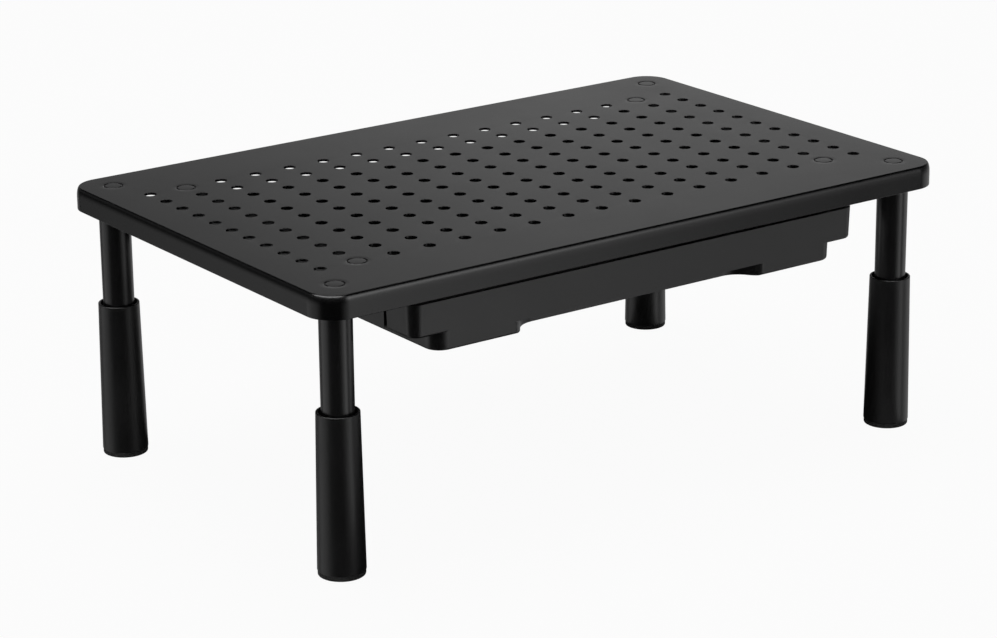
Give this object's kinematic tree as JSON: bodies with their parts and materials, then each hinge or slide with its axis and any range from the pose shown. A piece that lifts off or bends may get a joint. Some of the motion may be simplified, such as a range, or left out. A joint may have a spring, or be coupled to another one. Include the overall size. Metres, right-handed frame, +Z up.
{
  "type": "monitor stand with drawer",
  "caption": "Perforated steel monitor stand on telescopic legs with height steps, and a shallow moulded drawer that slides out under its front edge.",
  "frame": {"origin": "on the desk under the middle of the platform, legs drawn out to full height and drawer shut", "axes": "+X along the long side, +Y to the back, +Z up; the drawer pulls out towards -Y"},
  "size_m": [0.37, 0.236, 0.14],
  "materials": {
    "platform_coat": "satin fine-textured black powder coat",
    "column_coat": "satin black coat on steel tube",
    "sleeve_plastic": "satin moulded black plastic",
    "drawer_plastic": "finely textured moulded black plastic",
    "guide_plastic": "plain black nylon",
    "spring_steel": "bare spring steel",
    "zinc_steel": "bright zinc plate",
    "foot_rubber": "matt black rubber"
  },
  "bodies": {
    "stand": {"platform": "platform_coat", "leg_studs": "platform_coat", "rail_studs": "platform_coat", "rail_nuts": "zinc_steel", "left_rail": "drawer_plastic", "right_rail": "drawer_plastic", "front_left_column": "column_coat", "front_left_column_insert": "guide_plastic", "front_left_guide_bush": "guide_plastic", "front_left_detent_ring": "spring_steel", "front_right_column": "column_coat", "front_right_column_insert": "guide_plastic", "front_right_guide_bush": "guide_plastic", "front_right_detent_ring": "spring_steel", "rear_left_column": "column_coat", "rear_left_column_insert": "guide_plastic", "rear_left_guide_bush": "guide_plastic", "rear_left_detent_ring": "spring_steel", "rear_right_column": "column_coat", "rear_right_column_insert": "guide_plastic", "rear_right_guide_bush": "guide_plastic", "rear_right_detent_ring": "spring_steel"},
    "drawer": {"drawer": "drawer_plastic"},
    "front_left_lower_leg": {"front_left_sleeve": "sleeve_plastic", "front_left_collar": "guide_plastic", "front_left_foot": "foot_rubber"},
    "front_right_lower_leg": {"front_right_sleeve": "sleeve_plastic", "front_right_collar": "guide_plastic", "front_right_foot": "foot_rubber"},
    "rear_left_lower_leg": {"rear_left_sleeve": "sleeve_plastic", "rear_left_collar": "guide_plastic", "rear_left_foot": "foot_rubber"},
    "rear_right_lower_leg": {"rear_right_sleeve": "sleeve_plastic", "rear_right_collar": "guide_plastic", "rear_right_foot": "foot_rubber"}
  },
  "joints": [
    {"name": "drawer_slide", "type": "slide", "parent": "stand", "child": "drawer", "axis": [0, -1, 0], "range_m": [0, 0.15]},
    {"name": "front_left_leg_height", "type": "slide", "parent": "stand", "child": "front_left_lower_leg", "axis": [0, 0, 1], "range_m": [0, 0.04]},
    {"name": "front_right_leg_height", "type": "slide", "parent": "stand", "child": "front_right_lower_leg", "axis": [0, 0, 1], "range_m": [0, 0.04]},
    {"name": "rear_left_leg_height", "type": "slide", "parent": "stand", "child": "rear_left_lower_leg", "axis": [0, 0, 1], "range_m": [0, 0.04]},
    {"name": "rear_right_leg_height", "type": "slide", "parent": "stand", "child": "rear_right_lower_leg", "axis": [0, 0, 1], "range_m": [0, 0.04]}
  ]
}
